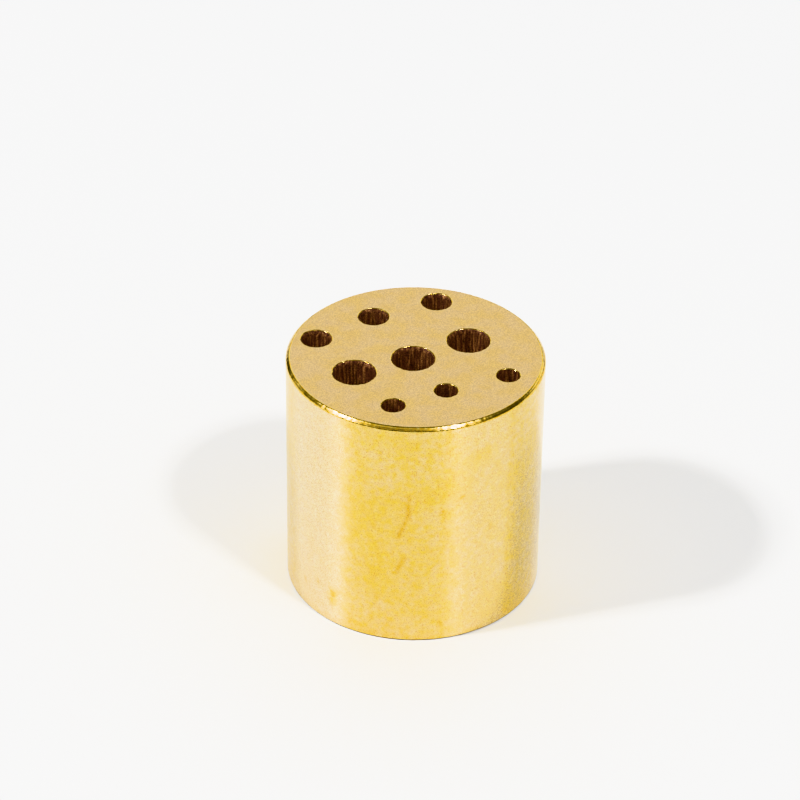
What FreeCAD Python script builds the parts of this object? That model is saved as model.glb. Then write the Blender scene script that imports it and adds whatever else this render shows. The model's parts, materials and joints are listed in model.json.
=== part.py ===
"""Flower frog: one turned brass block, drilled with nine blind holes that each hold a stem upright.

The block stands on its flat base.  The origin is the centre of that base, +Z is up, and the holes lie in
three rows along X: medium holes at the back (+Y), thick ones across the middle and thin ones at the
front (-Y).  Lengths are in millimetres and angles in degrees.
"""

import FreeCAD, Part

import os

import Sketcher

from FreeCAD import Vector

NODE = "brass_block"
SHEET = "dims"

# The block, and what every hole shares.  A hole's depth runs from the top face to the end of its straight
# wall, and the drill's point lies below that.
BLOCK = {
    "block_diameter": 20.0,
    "block_height": 20.0,
    "rim_chamfer": 0.25,
    "foot_chamfer": 0.1,
    "hole_depth": 12.0,
    "drill_point_angle": 118.0,
    "lead_in_angle": 60.0,
    "mouth_chamfer": 0.03,
}

# Each row's drill, and the wider cone that a centre drill leaves above the straight wall.
ROWS = {
    "medium": {"bore": 2.0, "lead_in": 2.45},
    "thick": {"bore": 3.0, "lead_in": 3.4},
    "thin": {"bore": 1.8, "lead_in": 1.86},
}

# The holes were marked out by hand, so no row is quite straight or evenly spaced: X and Y of each.
CENTRES = {
    "medium": {"left": (-5.7, 5.6), "middle": (-0.3, 6.3), "right": (5.1, 5.9)},
    "thick": {"left": (-5.3, 0.1), "middle": (-0.4, -0.3), "right": (4.6, -0.1)},
    "thin": {"left": (-4.8, -5.2), "middle": (-0.3, -5.3), "right": (4.9, -5.7)},
}

# Two heights nearer than this are the same height.
SAME_MM = 0.001


def cell(alias):
    """What an expression calls a cell of the sheet."""
    return f"{SHEET}.{alias}"


def make_sheet(doc):
    """The driving dimensions, one named cell each."""
    cells = dict(BLOCK)
    for row, drill in ROWS.items():
        cells[f"{row}_bore"] = drill["bore"]
        cells[f"{row}_lead_in"] = drill["lead_in"]
        for place, (x, y) in CENTRES[row].items():
            cells[f"{row}_{place}_x"] = x
            cells[f"{row}_{place}_y"] = y
    sheet = doc.addObject("Spreadsheet::Sheet", SHEET)
    for line, (alias, value) in enumerate(cells.items(), start=1):
        sheet.set(f"A{line}", alias)
        sheet.set(f"B{line}", str(value))
        sheet.setAlias(f"B{line}", alias)
    doc.recompute()


def make_sketch(body, name, height=None):
    """A sketch on the body's XY plane, raised to the height that a cell gives."""
    plane = next(feature for feature in body.Origin.OriginFeatures if feature.Role == "XY_Plane")
    sketch = body.newObject("Sketcher::SketchObject", name)
    sketch.AttachmentSupport = (plane, "")
    sketch.MapMode = "FlatFace"
    if height:
        sketch.setExpression("AttachmentOffset.Base.z", cell(height))
    return sketch


def constrain(sketch, kind, *items, alias):
    """A dimension in a sketch, bound to a cell."""
    number = sketch.addConstraint(Sketcher.Constraint(kind, *items, 1.0))
    sketch.setExpression(f"Constraints[{number}]", cell(alias))


def add_circle(sketch, diameter, centre=None):
    """A circle on the sketch's origin, or at the X and Y that two cells give."""
    circle = sketch.addGeometry(Part.Circle(Vector(0, 0, 0), Vector(0, 0, 1), 1.0), False)
    middle = (circle, 3)
    origin = (-1, 1)
    constrain(sketch, "Diameter", circle, alias=diameter)
    if centre is None:
        sketch.addConstraint(Sketcher.Constraint("Coincident", *middle, *origin))
    else:
        constrain(sketch, "DistanceX", *origin, *middle, alias=f"{centre}_x")
        constrain(sketch, "DistanceY", *origin, *middle, alias=f"{centre}_y")


def round_edges_at(feature, height):
    """The names of a feature's full-circle edges that lie level at one height."""
    names = []
    for number, edge in enumerate(feature.Shape.Edges, start=1):
        box = edge.BoundBox
        level = max(abs(box.ZMin - height), abs(box.ZMax - height)) < SAME_MM
        if level and isinstance(edge.Curve, Part.Circle) and edge.isClosed():
            names.append(f"Edge{number}")
    return names


def add_chamfer(doc, body, name, base, edges, size):
    """A 45 degree chamfer on some of the base feature's edges."""
    chamfer = body.newObject("PartDesign::Chamfer", name)
    chamfer.Base = (base, edges)
    chamfer.setExpression("Size", cell(size))
    doc.recompute()
    return chamfer


def add_blank(doc, body):
    """The length of round bar, faced at both ends, with its rim and foot broken."""
    outline = make_sketch(body, "bar_outline")
    add_circle(outline, "block_diameter")
    bar = body.newObject("PartDesign::Pad", "bar")
    bar.Profile = outline
    bar.setExpression("Length", cell("block_height"))
    doc.recompute()
    rim = add_chamfer(doc, body, "rim_break", bar, round_edges_at(bar, BLOCK["block_height"]), "rim_chamfer")
    return add_chamfer(doc, body, "foot_break", rim, round_edges_at(rim, 0.0), "foot_chamfer")


def add_row(doc, body, row):
    """One row of blind holes: a lead-in cone, a straight wall and the drill's point."""
    centres = make_sketch(body, f"{row}_centres", height="block_height")
    for place in CENTRES[row]:
        add_circle(centres, f"{row}_bore", centre=f"{row}_{place}")
    doc.recompute()
    holes = body.newObject("PartDesign::Hole", f"{row}_holes")
    holes.Profile = centres
    doc.recompute()
    holes.DepthType = "Dimension"
    holes.DrillPoint = "Angled"
    holes.DrillForDepth = False
    holes.HoleCutType = "Countersink"
    holes.HoleCutCustomValues = True
    holes.setExpression("Diameter", cell(f"{row}_bore"))
    holes.setExpression("Depth", cell("hole_depth"))
    holes.setExpression("DrillPointAngle", cell("drill_point_angle"))
    holes.setExpression("HoleCutDiameter", cell(f"{row}_lead_in"))
    holes.setExpression("HoleCutCountersinkAngle", cell("lead_in_angle"))
    doc.recompute()
    return holes


def add_mouth_chamfers(doc, body, drilled):
    """The fine edge break round every mouth, which leaves the rim as it is."""
    top = BLOCK["block_height"]
    rim_radius = BLOCK["block_diameter"] / 2 - BLOCK["rim_chamfer"]
    edges = drilled.Shape.Edges
    mouths = []
    for name in round_edges_at(drilled, top):
        edge = edges[int(name.removeprefix("Edge")) - 1]
        if edge.Curve.Radius < rim_radius - SAME_MM:
            mouths.append(name)
    return add_chamfer(doc, body, "mouth_breaks", drilled, mouths, "mouth_chamfer")


def make_block(doc):
    """The flower frog's one piece."""
    body = doc.addObject("PartDesign::Body", NODE)
    body.Label = NODE
    feature = add_blank(doc, body)
    for row in ROWS:
        before = feature.Shape.Volume
        feature = add_row(doc, body, row)
        print(row, "holes take out", round(before - feature.Shape.Volume, 2), "mm3")
        if feature.Shape.Volume >= before:
            raise RuntimeError(f"the {row} holes cut nothing")
    body.Tip = add_mouth_chamfers(doc, body, feature)
    body.Placement = FreeCAD.Placement()
    doc.recompute()
    return body


def check(doc, bodies):
    """Stop if any object failed, or if a body isn't one sound solid."""
    for item in doc.Objects:
        if "Invalid" in item.State or "Error" in item.State:
            raise RuntimeError(f"{item.Name} is {item.State}")
    for body in bodies:
        shape = body.Shape
        if shape.isNull() or not shape.isValid() or len(shape.Solids) != 1:
            raise RuntimeError(f"{body.Label} isn't one valid solid")


def main():
    doc = FreeCAD.newDocument("flower_frog")
    make_sheet(doc)
    bodies = [make_block(doc)]
    check(doc, bodies)
    os.makedirs("parts", exist_ok=True)
    for body in bodies:
        body.Shape.exportStep(f"parts/{body.Label}.step")
        print(body.Label, round(body.Shape.Volume, 1), "mm3", body.Shape.BoundBox)


main()
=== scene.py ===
"""Flower frog: the finished brass block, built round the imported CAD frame.

The block is one mesh.  Its side is turned, its top is blasted and its nine holes are drilled, so each of
those surfaces has a material of its own.  Lengths are in metres, or in millimetres where a comment or a
name says so, and angles are in degrees.  The frame is the CAD model's own: the origin is the centre of the
base, +Z is up, and the rows of holes run along X.
"""

import json
import math

import bmesh
import bpy
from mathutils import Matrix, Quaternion, Vector, geometry, noise


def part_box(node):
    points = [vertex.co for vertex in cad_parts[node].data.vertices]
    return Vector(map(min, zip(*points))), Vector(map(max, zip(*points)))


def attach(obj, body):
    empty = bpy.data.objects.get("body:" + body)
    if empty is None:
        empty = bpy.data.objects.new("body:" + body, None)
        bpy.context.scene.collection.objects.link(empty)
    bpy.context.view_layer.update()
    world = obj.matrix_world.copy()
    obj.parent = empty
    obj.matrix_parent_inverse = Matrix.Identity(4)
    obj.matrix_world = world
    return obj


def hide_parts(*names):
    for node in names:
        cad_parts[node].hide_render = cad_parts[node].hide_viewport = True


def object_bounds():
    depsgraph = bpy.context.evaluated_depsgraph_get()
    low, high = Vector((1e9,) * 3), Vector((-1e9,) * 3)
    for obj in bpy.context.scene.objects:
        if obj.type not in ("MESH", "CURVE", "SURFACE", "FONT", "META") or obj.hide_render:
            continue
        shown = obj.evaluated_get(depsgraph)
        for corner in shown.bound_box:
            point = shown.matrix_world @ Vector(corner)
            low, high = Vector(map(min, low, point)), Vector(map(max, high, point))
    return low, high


MM = 0.001
NODE = "brass_block"

# Where the camera stands, how it is held, and the point that it looks at.
CAMERA_AZIMUTH = -29.3
CAMERA_ELEVATION = 35.35
CAMERA_DISTANCE = 265.4 * MM
CAMERA_ROLL = 0.74
AIM_SIDEWAYS = -1.17 * MM
AIM_HEIGHT = 15.8 * MM
LENS_MM = 152.2
SENSOR_MM = 36
NEAREST_SEEN = 10 * MM

# The CAD block's edges and holes, which the finished mesh keeps.
RIM_CHAMFER = 0.25 * MM
FOOT_CHAMFER = 0.1 * MM
MOUTH_CHAMFER = 0.03 * MM
HOLE_DEPTH = 12 * MM
LEAD_IN_ANGLE = 60.0
DRILL_POINT_ANGLE = 118.0

# How far each kind of edge is worn round, how uneven it is, and the size of the lumps that make it so.  The
# foot is worn as far as the rim, evenly.
RIM_WEAR = 0.06 * MM
RIM_UNEVEN = 0.035 * MM
RIM_LUMPS = 0.4 * MM
MOUTH_WEAR = 0.01 * MM
MOUTH_UNEVEN = 0.05 * MM
MOUTH_LUMPS = 0.3 * MM

# How finely the surfaces are divided.  A ledge is the narrow flat strip kept beside each worn edge.
OUTER_SEGMENTS = 768
HOLE_SEGMENT = 0.08 * MM
SIDE_BANDS = 20
BASE_RINGS = (0.8, 0.5, 0.2)
TOP_GRID = 0.7 * MM
LEDGE = 0.06 * MM

# Noise runs from 0 to 1.  Nearly all of it lies between the first pair, and most of it between the second.
ALL_NOISE = (0.2, 0.8)
MOST_NOISE = (0.3, 0.7)

# Painted reflections: pale strips down the side that stand in for the light tent's sheets seen in the brass,
# each from one azimuth to another, with its strength and how gradually it starts and ends.
PAINTED_REFLECTION_STRIPS = (
    (-97, -62, 0.5, 9, 4.5),
    (-12, 16, 0.2, 4, 2),
    (42, 72, 0.36, 5, 8),
    (112, 150, 0.25, 10, 10),
    (-172, -135, 0.25, 10, 6),
)

# How far the strips' edges stray, in degrees, and the size of the lumps that make them stray.
REFLECTION_STRIP_STRAY = 0.6
REFLECTION_STRIP_LUMPS = 0.8 * MM

# Wide yellow stains on the side, each from one (azimuth, height in mm) to another, with its width in mm
# and its strength.
STAINS = (
    ((-54.0, 11.0), (-42.0, 7.0), 2.6, 0.6),
    ((-52.0, 16.5), (-54.0, 13.0), 0.9, 0.5),
    ((1.0, 16.6), (4.0, 16.8), 1.0, 0.6),
    ((-30.0, 3.0), (-18.0, 2.0), 1.6, 0.3),
    ((-67.2, 3.1), (-67.2, 2.2), 0.7, 1.0),
    ((-58.3, 0.9), (-50.0, 0.9), 0.5, 0.8),
    ((72.0, 13.0), (80.0, 8.0), 2.4, 0.5),
    ((155.0, 6.0), (172.0, 9.0), 2.2, 0.5),
    ((-120.0, 14.0), (-128.0, 10.0), 2.0, 0.5),
)

# Scratches and spots on the side, listed in the same way.
SCRATCHES = (
    ((-31.4, 13.8), (-31.7, 12.1), 0.34, 1.0),
    ((-31.7, 12.1), (-35.7, 9.9), 0.34, 0.9),
    ((-32.4, 8.0), (-37.2, 6.5), 0.3, 0.8),
    ((-16.8, 12.3), (-16.8, 12.1), 0.35, 1.0),
    ((-9.5, 13.1), (-7.0, 13.4), 0.25, 0.8),
    ((7.1, 9.9), (7.1, 9.6), 0.3, 0.8),
    ((-67.2, 3.0), (-67.2, 2.6), 0.2, 0.8),
    ((-76.3, 3.4), (-76.3, 3.2), 0.25, 0.7),
    ((-85.8, 2.6), (-85.8, 2.3), 0.3, 0.6),
    ((-58.3, 0.9), (-58.3, 0.9), 0.35, 0.8),
    ((-16.5, 1.6), (-16.5, 1.4), 0.4, 0.7),
    ((58.0, 12.5), (66.0, 9.0), 0.22, 0.4),
    ((74.0, 4.2), (74.0, 3.9), 0.4, 0.8),
    ((101.0, 14.6), (99.0, 12.0), 0.2, 0.4),
    ((126.0, 7.5), (126.0, 7.2), 0.35, 0.9),
    ((163.0, 10.8), (171.0, 12.0), 0.22, 0.4),
    ((-170.0, 3.6), (-170.0, 3.0), 0.4, 0.8),
    ((-128.0, 12.9), (-133.0, 9.6), 0.22, 0.45),
    ((-114.0, 5.5), (-114.0, 5.2), 0.35, 0.8),
)

# How far the stains' and scratches' outlines stray, in mm, and the size of the lumps that make them stray.
MARK_STRAY = 0.08
MARK_STRAY_LUMPS = 0.25 * MM

# How much of a stain's or scratch's strength is left where it is faintest, and the size of those lumps.
MARK_FAINTEST = 0.45
MARK_FAINT_LUMPS = 0.35 * MM

# The brown line of painted shade along the rim, by how far below the top it is, in mm: it fades in over the
# first pair, going up, and out over the second.
RIM_SHADE_STARTS = (0.21, 0.17)
RIM_SHADE_ENDS = (0.14, 0.08)

# The studio's floor: how far it reaches each way, and how far below the block it lies.
FLOOR_REACH = 0.7
FLOOR_GAP = 0.01 * MM

# The faint even light all round, and how bright the wall past the floor looks.
WORLD_STRENGTH = 0.05
WALL_BRIGHTNESS = 1.4

# Small square lamps, each with its azimuth from the camera's, its elevation and its watts.
LAMP_DISTANCE = 1.0
LAMP_SIZE = 0.09
LAMPS = (
    ("left_lamp", -74, 45, 11.6),
    ("right_lamp", 45, 53.5, 8.8),
)

# The light tent's large, evenly lit sheets, each with its azimuth from the camera's, its elevation, its
# width and height, and its brightness.
CARD_DISTANCE = 1.0
CARDS = (
    ("backdrop", 180, 35, 1.3, 0.7, 1.15),
    ("left_card", -95, 12, 1.1, 0.4, 1.0),
    ("right_card", 66, 12, 1.1, 0.4, 1.1),
    ("far_card", 122, 12, 0.8, 0.4, 1.3),
    ("front_card", -8, 56, 1.3, 0.35, 0.5),
)

# The block's materials, in the order of its slots.
TOP, SIDE, EDGE, BORE, BASE = range(5)


def around(azimuth, elevation, distance):
    """A point seen from the block: azimuth 0 is in front (-Y) and 90 is to the right (+X)."""
    a = math.radians(azimuth)
    e = math.radians(elevation)
    return distance * Vector((math.sin(a) * math.cos(e), -math.cos(a) * math.cos(e), math.sin(e)))


def add_mesh(name, mesh):
    """An object made from a bmesh, which is used up."""
    data = bpy.data.meshes.new(name)
    mesh.to_mesh(data)
    mesh.free()
    made = bpy.data.objects.new(name, data)
    bpy.context.scene.collection.objects.link(made)
    return made


# ------------------------------------------------------------------------------------------ the mesh

def ripple(centre, angle, reach, height, lumps):
    """Smooth noise at a point of a round edge, from -1 to 1, in lumps of about a size."""
    spot = centre + Vector((reach * math.cos(angle), reach * math.sin(angle), height))
    return noise.noise(spot / lumps)


def even(angle, reach, height):
    """The unevenness of a ring that has none."""
    return 0.0


def soften(outline, size):
    """An outline of (radius, height, slot), with each inner corner rounded and a ledge held beside it.

    A point's slot is that of the stretch which follows it.  A rounded corner is an edge, unless it lies
    within a bore.  The ledges keep the rounding from shading the stretches on either side, where they are
    long enough to need one."""
    rounded = [outline[0]]
    for before, corner, after in zip(outline, outline[1:], outline[2:]):
        here = Vector(corner[:2])
        back = Vector(before[:2]) - here
        on = Vector(after[:2]) - here
        start = here + back.normalized() * size
        end = here + on.normalized() * size
        middle = (start + end + 2 * here) / 4
        long_enough = 2 * (size + LEDGE)
        corner_slot = BORE if before[2] == BORE else EDGE
        if back.length > long_enough:
            rounded.append((*(start + back.normalized() * LEDGE), before[2]))
        rounded.append((*start, corner_slot))
        rounded.append((*middle, corner_slot))
        rounded.append((*end, corner[2]))
        if on.length > long_enough:
            rounded.append((*(end + on.normalized() * LEDGE), corner[2]))
    rounded.append(outline[-1])
    return rounded


def add_ring(mesh, centre, radius, height, segments, uneven):
    """A ring of vertices.  uneven(angle, radius, height) is how much less its radius is at each angle."""
    ring = []
    for step in range(segments):
        angle = 2 * math.pi * step / segments
        reach = radius - uneven(angle, radius, height)
        ring.append(mesh.verts.new((centre.x + reach * math.cos(angle),
                                    centre.y + reach * math.sin(angle), height)))
    return ring


def add_face(mesh, corners, slot, hole):
    """A face that looks away from the axis, or towards it in a hole."""
    face = mesh.faces.new(corners[::-1] if hole else corners)
    face.material_index = slot


def bridge(mesh, upper, lower, slot, hole):
    """Quads between two rings."""
    for step in range(len(upper)):
        after = (step + 1) % len(upper)
        add_face(mesh, [upper[step], lower[step], lower[after], upper[after]], slot, hole)


def cap(mesh, ring, tip, slot, hole):
    """Triangles from a ring to a point on its axis: the base's centre, or a hole's bottom."""
    middle = mesh.verts.new(tip)
    for step in range(len(ring)):
        add_face(mesh, [ring[step], middle, ring[(step + 1) % len(ring)]], slot, hole)


def turn(mesh, centre, outline, segments, uneven, hole=False):
    """A surface of revolution from an outline that runs down from the top face, ended at its axis.

    Returns the first ring, which lies flat in the top face, and is the only one that is sure to be even."""
    rings = []
    for radius, height, _ in outline[:-1]:
        rings.append(add_ring(mesh, centre, radius, height, segments, uneven if rings else even))
    for upper, lower, (_, _, slot) in zip(rings, rings[1:], outline):
        bridge(mesh, upper, lower, slot, hole)
    cap(mesh, rings[-1], (centre.x, centre.y, outline[-1][1]), outline[-2][2], hole)
    return rings[0]


def outer_outline(radius, height):
    """From the top face over the rim, down the side in bands, round the foot and in to the base's centre."""
    corners = [
        (radius - RIM_CHAMFER - LEDGE - RIM_WEAR, height, TOP),
        (radius - RIM_CHAMFER, height, EDGE),
        (radius, height - RIM_CHAMFER, SIDE),
        (radius, FOOT_CHAMFER, EDGE),
        (radius - FOOT_CHAMFER, 0.0, BASE),
        (BASE_RINGS[0] * radius, 0.0, BASE),
    ]
    outline = []
    last = height
    for point in soften(corners, RIM_WEAR):
        drop = last - point[1]
        if drop > height / 2:
            outline += [(radius, last - drop * band / SIDE_BANDS, SIDE) for band in range(1, SIDE_BANDS)]
        outline.append(point)
        last = point[1]
    outline += [(share * radius, 0.0, BASE) for share in BASE_RINGS[1:]]
    outline.append((0.0, 0.0, BASE))
    return outline


def hole_outline(bore, wall_top, height):
    """From the top face over the mouth's edge, down the lead-in and the bore to the drill's point."""
    slope = math.tan(math.radians(LEAD_IN_ANGLE / 2))
    mouth = bore + (height - wall_top) * slope
    lip_drop = MOUTH_CHAMFER * math.cos(math.radians(LEAD_IN_ANGLE / 2))
    floor = height - HOLE_DEPTH
    point_depth = bore / math.tan(math.radians(DRILL_POINT_ANGLE / 2))
    lip = [
        (mouth + MOUTH_CHAMFER + LEDGE + 2 * MOUTH_WEAR, height, TOP),
        (mouth + MOUTH_CHAMFER, height, EDGE),
        (mouth - lip_drop * slope, height - lip_drop, BORE),
        (bore, wall_top, BORE),
    ]
    return soften(lip, MOUTH_WEAR) + [(bore, floor, BORE), (0.0, floor - point_depth, BORE)]


def drill(mesh, mount, height):
    """The hole at a bore mount, from the top face down.  Returns the ring round its mouth."""
    centre = Vector(mount["pos_m"])
    bore = mount["dims"]["r_mm"] * MM
    wall_top = height - HOLE_DEPTH + mount["dims"]["length_mm"] * MM
    segments = round(2 * math.pi * bore / HOLE_SEGMENT)

    def uneven(angle, reach, ring_height):
        if ring_height < wall_top + 2 * MOUTH_WEAR:
            return 0.0
        return MOUTH_UNEVEN * ripple(centre, angle, reach, ring_height, MOUTH_LUMPS)

    return turn(mesh, centre, hole_outline(bore, wall_top, height), segments, uneven, hole=True)


def turn_outside(mesh, radius, height):
    """The rim, the side, the foot and the base.  Returns the ring round the top face."""
    axis = Vector((0, 0, 0))

    def uneven(angle, reach, ring_height):
        if ring_height < height - RIM_CHAMFER - RIM_WEAR / 2:
            return 0.0
        return RIM_UNEVEN * abs(ripple(axis, angle, reach, ring_height, RIM_LUMPS))

    return turn(mesh, axis, outer_outline(radius, height), OUTER_SEGMENTS, uneven)


def centre_of(vertices):
    """The middle of some vertices, seen from above."""
    return sum((vertex.co.xy for vertex in vertices), Vector((0, 0))) / len(vertices)


def grid_spots(rim_reach, holes):
    """Points spread evenly over the top face, clear of its rim and of each hole's (centre, reach)."""
    margin = TOP_GRID / 2
    steps = int(rim_reach / TOP_GRID) + 1
    spots = []
    for column in range(-steps, steps + 1):
        for row in range(-steps, steps + 1):
            spot = Vector((column + 0.5 * (row % 2), row)) * TOP_GRID
            clear = all((spot - centre).length > reach + margin for centre, reach in holes)
            if clear and spot.length < rim_reach - margin:
                spots.append(spot)
    return spots


def fill_top(mesh, height, rim, mouths):
    """The flat top between the rim's ring and the holes' rings."""
    corners = []
    edges = []
    for ring in [rim, *mouths]:
        start = len(corners)
        edges += [(start + step, start + (step + 1) % len(ring)) for step in range(len(ring))]
        corners += ring
    centres = [centre_of(ring) for ring in mouths]
    holes = [(centre, (ring[0].co.xy - centre).length) for centre, ring in zip(centres, mouths)]
    spots = [vertex.co.xy for vertex in corners] + grid_spots(rim[0].co.xy.length, holes)
    only_inside = 1
    same_spot = 0.0001 * MM
    points, _, faces, origins, _, _ = geometry.delaunay_2d_cdt(spots, edges, [], only_inside, same_spot)
    vertices = []
    for point, origin in zip(points, origins):
        ringed = [number for number in origin if number < len(corners)]
        vertices.append(corners[ringed[0]] if ringed else mesh.verts.new((point.x, point.y, height)))
    for face in faces:
        made = [vertices[number] for number in face]
        middle = centre_of(made)
        if all((middle - centre).length > reach for centre, reach in holes):
            mesh.faces.new(made).material_index = TOP


def build_block(record):
    """The block's mesh: the turned outside, a hole at each bore mount, and the top between them."""
    low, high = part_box(NODE)
    height = high.z
    mesh = bmesh.new()
    rim = turn_outside(mesh, (high.x - low.x) / 2, height)
    mouths = [drill(mesh, mount, height) for mount in record["mounts"] if mount["kind"] == "bore"]
    fill_top(mesh, height, rim, mouths)
    for face in mesh.faces:
        face.smooth = True
    return add_mesh("turned_block", mesh)


# ---------------------------------------------------------------------------------- the shader nodes

def join(tree, socket, value):
    """Give an input a plain value, or link an output to it."""
    if isinstance(value, bpy.types.NodeSocket):
        tree.links.new(value, socket)
    else:
        socket.default_value = value


def add(tree, kind, settings=None, **inputs):
    """A shader node, with its settings and its inputs, each a plain value or another node's output."""
    made = tree.nodes.new(kind)
    for name, value in (settings or {}).items():
        setattr(made, name, value)
    for name, value in inputs.items():
        join(tree, made.inputs[name.replace("_", " ")], value)
    return made


def maths(tree, operation, *values):
    """A calculation with one to three numbers."""
    made = add(tree, "ShaderNodeMath", {"operation": operation})
    for socket, value in zip(made.inputs, values):
        join(tree, socket, value)
    return made.outputs[0]


def vector(tree, operation, first, second):
    """A calculation with two vectors, or two colours."""
    made = add(tree, "ShaderNodeVectorMath", {"operation": operation})
    join(tree, made.inputs[0], first)
    join(tree, made.inputs[1], second)
    return made.outputs["Value" if operation in ("DOT_PRODUCT", "DISTANCE") else "Vector"]


def mix(tree, factor, first, second):
    """A colour between two, by a factor from 0 to 1."""
    made = add(tree, "ShaderNodeMix", {"data_type": "RGBA"})
    for name, value in (("Factor_Float", factor), ("A_Color", first), ("B_Color", second)):
        socket = next(s for s in made.inputs if s.identifier == name)
        join(tree, socket, value)
    return next(s for s in made.outputs if s.identifier == "Result_Color")


def spread(tree, value, low, high, to_low=0.0, to_high=1.0):
    """A value's range from low to high, eased and stretched to another range."""
    made = add(tree, "ShaderNodeMapRange", {"interpolation_type": "SMOOTHSTEP"}, Value=value)
    for name, number in (("From Min", low), ("From Max", high), ("To Min", to_low), ("To Max", to_high)):
        made.inputs[name].default_value = number
    return made.outputs[0]


def places(tree, stretch=(1, 1, 1)):
    """Where each point of the block is, with X, Y and Z each divided by its share of the stretch."""
    where = add(tree, "ShaderNodeTexCoord").outputs["Object"]
    return vector(tree, "MULTIPLY", where, tuple(1 / share for share in stretch))


def speckle(tree, size, detail=2.0, stretch=(1, 1, 1)):
    """Smooth noise from 0 to 1, in lumps of about a size, which the stretch draws out."""
    made = add(tree, "ShaderNodeTexNoise", Vector=places(tree, stretch), Scale=1 / size, Detail=detail)
    return made.outputs["Fac"]


def heights(tree):
    """Each point's height in millimetres."""
    return add(tree, "ShaderNodeSeparateXYZ", Vector=places(tree, (MM, MM, MM))).outputs["Z"]


def azimuths(tree):
    """Each point's azimuth, from -180 to 180: 0 is in front (-Y) and 90 is to the right (+X)."""
    where = add(tree, "ShaderNodeSeparateXYZ", Vector=places(tree))
    backward = maths(tree, "MULTIPLY", where.outputs["Y"], -1.0)
    turned = maths(tree, "ARCTAN2", where.outputs["X"], backward)
    return maths(tree, "DEGREES", turned)


# ------------------------------------------------------------------------------------- the materials

def shade(tree, tone, grain, low, high):
    """A colour times one tint where the grain is low, and times another where it is high."""
    tint = mix(tree, spread(tree, grain, *MOST_NOISE), (*low, 1), (*high, 1))
    return vector(tree, "MULTIPLY", tone, tint)


def roughen(tree, shader, grain, smoothest, roughest):
    """Roughness that follows the grain."""
    join(tree, shader.inputs["Roughness"], spread(tree, grain, *ALL_NOISE, smoothest, roughest))


def bump(tree, shader, grain, depth):
    """Raise the surface by a depth times the grain."""
    made = add(tree, "ShaderNodeBump", Height=grain, Distance=depth, Strength=1.0)
    join(tree, shader.inputs["Normal"], made.outputs["Normal"])


def stray(tree, lumps, most):
    """An offset of up to the most either way, which changes from lump to lump."""
    return spread(tree, speckle(tree, lumps), *MOST_NOISE, -most, most)


def painted_reflection(tree):
    """How strongly each point of the side lies in the pale strips of painted reflection."""
    angle = maths(tree, "ADD", azimuths(tree), stray(tree, REFLECTION_STRIP_LUMPS, REFLECTION_STRIP_STRAY))
    total = 0.0
    for start, end, strength, start_edge, end_edge in PAINTED_REFLECTION_STRIPS:
        rise = spread(tree, angle, start - start_edge, start + start_edge)
        fall = spread(tree, angle, end - end_edge, end + end_edge, strength, 0.0)
        total = maths(tree, "MULTIPLY_ADD", rise, fall, total)
    return total


def marks(tree, radius, listed):
    """How strongly each point of the side is marked, on the side unrolled flat, in millimetres."""
    per_degree = math.radians(1) * radius / MM
    across = maths(tree, "MULTIPLY", azimuths(tree), per_degree)
    across = maths(tree, "ADD", across, stray(tree, MARK_STRAY_LUMPS, MARK_STRAY))
    spot = add(tree, "ShaderNodeCombineXYZ", X=across, Y=heights(tree)).outputs[0]
    strongest = 0.0
    for start, end, width, strength in listed:
        here = Vector((start[0] * per_degree, start[1], 0))
        line = Vector((end[0] * per_degree, end[1], 0)) - here
        offset = vector(tree, "SUBTRACT", spot, here)
        along = vector(tree, "DOT_PRODUCT", offset, line.normalized())
        along = maths(tree, "MINIMUM", maths(tree, "MAXIMUM", along, 0.0), line.length)
        nearest = add(tree, "ShaderNodeVectorMath", {"operation": "SCALE"}, Scale=along)
        join(tree, nearest.inputs[0], line.normalized())
        gap = vector(tree, "DISTANCE", offset, nearest.outputs[0])
        strongest = maths(tree, "MAXIMUM", strongest, spread(tree, gap, 0, width, strength, 0.0))
    faint = speckle(tree, MARK_FAINT_LUMPS)
    fading = spread(tree, faint, low=0.35, high=0.6, to_low=MARK_FAINTEST, to_high=1.0)
    return maths(tree, "MULTIPLY", strongest, fading)


def painted_rim_shade(tree, height, grain):
    """How strongly each point lies in the brown line of painted shade along the rim, which the grain breaks
    up.
    """
    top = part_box(NODE)[1].z / MM
    rise = spread(tree, height, *[top - below for below in RIM_SHADE_STARTS])
    fall = spread(tree, height, *[top - below for below in RIM_SHADE_ENDS], 1.0, 0.0)
    whole = maths(tree, "MULTIPLY", rise, fall)
    broken = spread(tree, grain, low=0.3, high=0.6, to_low=0.3, to_high=1.0)
    return maths(tree, "MULTIPLY", whole, broken)


def new_material(name, **sockets):
    """A material, with what is the same all over it set on the shader itself."""
    material = bpy.data.materials.new(name)
    material.use_nodes = True
    shader = material.node_tree.nodes["Principled BSDF"]
    for socket, value in sockets.items():
        shader.inputs[socket.replace("_", " ")].default_value = value
    return material, material.node_tree, shader


def blasted_brass():
    """The top: a fine, even, matt grain."""
    pale = (0.79, 0.577, 0.28, 1)
    golden = (0.80, 0.566, 0.21, 1)
    material, tree, shader = new_material("blasted_brass", Metallic=1.0)
    grain = speckle(tree, size=0.085 * MM, detail=3)
    cloud = speckle(tree, size=1.2 * MM, detail=4)
    tone = mix(tree, spread(tree, cloud, *MOST_NOISE), pale, golden)
    tone = shade(tree, tone, grain, low=(0.82, 0.78, 0.80), high=(1.17, 1.22, 1.21))
    join(tree, shader.inputs["Base Color"], tone)
    roughen(tree, shader, grain, smoothest=0.38, roughest=0.52)
    bump(tree, shader, grain, depth=0.004 * MM)
    return material


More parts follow.
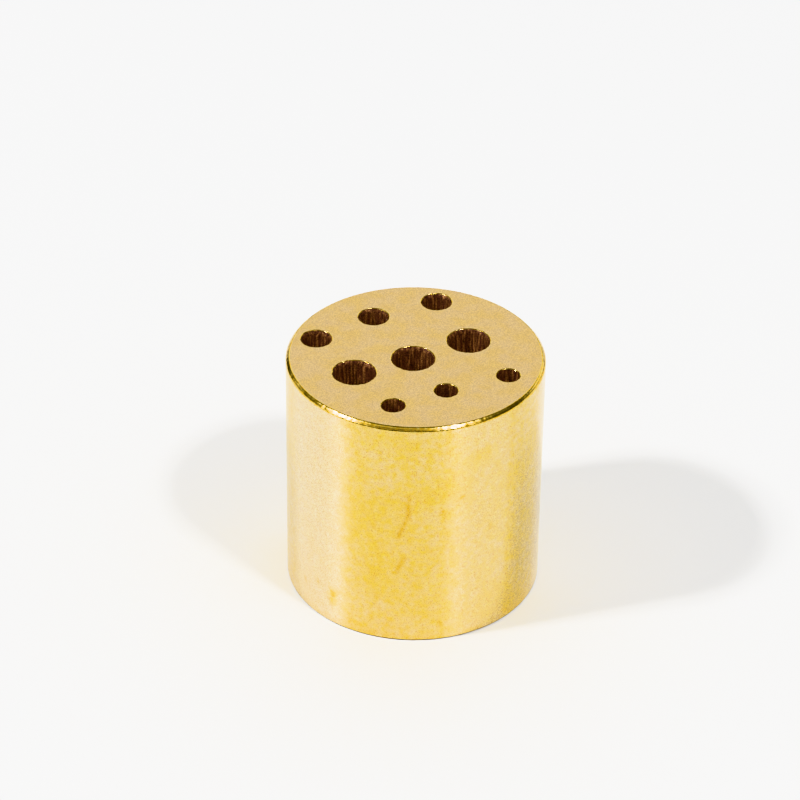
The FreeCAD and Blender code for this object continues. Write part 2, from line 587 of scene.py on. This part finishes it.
def turned_brass():
    """The side: bright, with fine turning lines that spread light up and down, mottled and marked, with pale
    strips of painted reflection and painted shade deepening to amber at the foot.
    """
    pale = (0.75, 0.54, 0.19, 1)
    golden = (0.74, 0.485, 0.035, 1)
    clouded = (0.76, 0.49, 0.01, 1)
    # The pale colour of the painted reflections.
    reflected_pale = (0.74, 0.62, 0.42, 1)
    # The deeper amber of the painted shade at the foot: the floor's shadow seen in the brass.
    foot = (0.76, 0.46, 0.01, 1)
    stained = (0.78, 0.50, 0.0, 1)
    scratched = (0.62, 0.34, 0.0, 1)
    material, tree, shader = new_material(
        "turned_brass", Metallic=1.0, Anisotropic=1.0, Anisotropic_Rotation=0.25,
        Coat_Weight=0.55, Coat_Roughness=0.12, Sheen_Weight=0.08)
    tangent = add(tree, "ShaderNodeTangent", {"direction_type": "RADIAL", "axis": "Z"})
    join(tree, shader.inputs["Tangent"], tangent.outputs[0])
    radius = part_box(NODE)[1].x
    grain = speckle(tree, size=0.075 * MM)
    blotch = spread(tree, speckle(tree, size=0.5 * MM, detail=4), low=0.25, high=0.75)
    cloud = spread(tree, speckle(tree, size=3.5 * MM), low=0.42, high=0.68, to_high=0.5)
    # Painted shade: how far towards the foot the side turns that amber.
    painted_foot_shade = spread(tree, heights(tree), low=0.0, high=1.0, to_low=0.3, to_high=0.0)
    tone = mix(tree, blotch, pale, golden)
    tone = mix(tree, cloud, tone, clouded)
    # Painted reflection: pale strips down the side where the tent's sheets would show in the brass.
    tone = mix(tree, painted_reflection(tree), tone, reflected_pale)
    tone = mix(tree, painted_foot_shade, tone, foot)
    tone = mix(tree, marks(tree, radius, STAINS), tone, stained)
    tone = mix(tree, marks(tree, radius, SCRATCHES), tone, scratched)
    tone = shade(tree, tone, grain, low=(0.86, 0.71, 0.58), high=(1.24, 1.48, 2.0))
    join(tree, shader.inputs["Base Color"], tone)
    roughen(tree, shader, grain, smoothest=0.24, roughest=0.32)
    bump(tree, shader, grain, depth=0.0006 * MM)
    return material


def worn_brass():
    """The rim, the foot and the mouths' corners: rubbed bright, with a brown line of painted shade along the
    rim and painted shadow darkening the foot.
    """
    golden = (0.84, 0.52, 0.05, 1)
    bright = (0.90, 0.68, 0.19, 1)
    # The dark of the painted shadow where the foot meets the floor.
    foot = (0.18, 0.11, 0.02, 1)
    # The brown of the painted shade line along the rim.
    brown = (0.34, 0.20, 0.02, 1)
    material, tree, shader = new_material("worn_brass", Metallic=1.0)
    grain = speckle(tree, size=0.25 * MM, detail=3)
    height = heights(tree)
    # Painted shadow: how dark the foot's edge turns near the floor.
    painted_foot_shade = spread(tree, height, low=0.05, high=0.4, to_low=0.85, to_high=0.0)
    tone = mix(tree, spread(tree, grain, low=0.35, high=0.65), golden, bright)
    tone = mix(tree, painted_foot_shade, tone, foot)
    # Painted shade: a thin brown line along the rim's chamfer.
    tone = mix(tree, painted_rim_shade(tree, height, grain), tone, brown)
    join(tree, shader.inputs["Base Color"], tone)
    roughen(tree, shader, grain, smoothest=0.14, roughest=0.25)
    return material


def drilled_brass():
    """Inside the holes: dark brown, far darker than the brass outside, streaked along the drill's path."""
    dark = (0.07, 0.028, 0.018, 1)
    brown = (0.26, 0.125, 0.055, 1)
    material, tree, shader = new_material("drilled_brass", Metallic=0.7, Roughness=0.6)
    streaks = speckle(tree, size=0.16 * MM, detail=3, stretch=(1, 1, 10))
    grain = speckle(tree, size=0.1 * MM)
    tone = mix(tree, spread(tree, streaks, low=0.45, high=0.7), dark, brown)
    tone = shade(tree, tone, grain, low=(0.35, 0.32, 0.3), high=(1.8, 1.85, 1.9))
    join(tree, shader.inputs["Base Color"], tone)
    bump(tree, shader, streaks, depth=0.01 * MM)
    return material


def faced_brass():
    """The base: faced on the lathe, then scuffed by what it stands on."""
    dull = (0.58, 0.40, 0.13, 1)
    golden = (0.72, 0.52, 0.19, 1)
    material, tree, shader = new_material("faced_brass", Metallic=1.0)
    grain = speckle(tree, size=0.15 * MM, detail=3)
    tone = mix(tree, spread(tree, grain, *MOST_NOISE), dull, golden)
    join(tree, shader.inputs["Base Color"], tone)
    roughen(tree, shader, grain, smoothest=0.3, roughest=0.4)
    return material


def paper():
    """The floor: plain white paper."""
    white = (0.80, 0.80, 0.80, 1)
    material, _, _ = new_material("paper", Base_Color=white, Roughness=0.9, Specular_IOR_Level=0.2)
    return material


# ---------------------------------------------------------------------------------------- the studio

def add_floor():
    """A square sheet of paper, just below the block."""
    mesh = bmesh.new()
    sides = [(-1, -1), (1, -1), (1, 1), (-1, 1)]
    mesh.faces.new([mesh.verts.new((x * FLOOR_REACH, y * FLOOR_REACH, -FLOOR_GAP)) for x, y in sides])
    floor = add_mesh("floor", mesh)
    floor.data.materials.append(paper())


def add_light(name, azimuth, elevation, distance, width, height, watts):
    """A rectangular light that faces the block.  Its azimuth is counted from the camera's."""
    data = bpy.data.lights.new(name, "AREA")
    data.shape = "RECTANGLE"
    data.size = width
    data.size_y = height
    data.energy = watts
    light = bpy.data.objects.new(name, data)
    light.location = around(CAMERA_AZIMUTH + azimuth, elevation, distance)
    light.rotation_euler = (-light.location).to_track_quat("-Z", "Y").to_euler()
    light.visible_camera = False
    bpy.context.scene.collection.objects.link(light)


def add_lights():
    """The lamps, then the cards, whose watts follow from their size and brightness."""
    for name, azimuth, elevation, watts in LAMPS:
        add_light(name, azimuth, elevation, LAMP_DISTANCE, LAMP_SIZE, LAMP_SIZE, watts)
    for name, azimuth, elevation, width, height, brightness in CARDS:
        watts = brightness * math.pi * width * height
        add_light(name, azimuth, elevation, CARD_DISTANCE, width, height, watts)


def add_world():
    """A faint even light all round, which looks as bright as a pale wall where it is seen past the floor."""
    world = bpy.data.worlds.new("studio")
    world.use_nodes = True
    tree = world.node_tree
    background = tree.nodes["Background"]
    background.inputs["Color"].default_value = (1, 1, 1, 1)
    direct = add(tree, "ShaderNodeLightPath").outputs["Is Camera Ray"]
    extra = WALL_BRIGHTNESS - WORLD_STRENGTH
    join(tree, background.inputs["Strength"], maths(tree, "MULTIPLY_ADD", direct, extra, WORLD_STRENGTH))
    bpy.context.scene.world = world


def add_camera(middle):
    """The camera, at its distance from the block's middle, aimed a little to the side of the axis."""
    data = bpy.data.cameras.new("camera")
    data.sensor_width = SENSOR_MM
    data.lens = LENS_MM
    data.clip_start = NEAREST_SEEN
    camera = bpy.data.objects.new("camera", data)
    camera.location = middle + around(CAMERA_AZIMUTH, CAMERA_ELEVATION, CAMERA_DISTANCE)
    sideways = around(CAMERA_AZIMUTH + 90, 0, AIM_SIDEWAYS)
    aim = Vector((0, 0, AIM_HEIGHT)) + sideways
    level = (aim - camera.location).to_track_quat("-Z", "Y")
    roll = Quaternion((0, 0, 1), math.radians(CAMERA_ROLL))
    camera.rotation_euler = (level @ roll).to_euler()
    bpy.context.scene.collection.objects.link(camera)
    bpy.context.scene.camera = camera


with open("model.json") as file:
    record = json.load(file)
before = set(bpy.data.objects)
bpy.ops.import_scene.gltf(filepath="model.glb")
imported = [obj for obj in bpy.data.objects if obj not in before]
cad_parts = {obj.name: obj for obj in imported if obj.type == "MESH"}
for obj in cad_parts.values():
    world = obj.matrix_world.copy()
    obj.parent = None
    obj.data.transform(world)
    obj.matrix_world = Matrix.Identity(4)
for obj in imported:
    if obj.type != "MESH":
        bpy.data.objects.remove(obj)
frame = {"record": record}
cad_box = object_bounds()

block = build_block(frame["record"])
for finish in (blasted_brass, turned_brass, worn_brass, drilled_brass, faced_brass):
    block.data.materials.append(finish())
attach(block, "root")
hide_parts(NODE)

add_floor()
add_world()
add_lights()
low, high = cad_box
add_camera((low + high) / 2)
bpy.context.scene.view_settings.view_transform = "Khronos PBR Neutral"
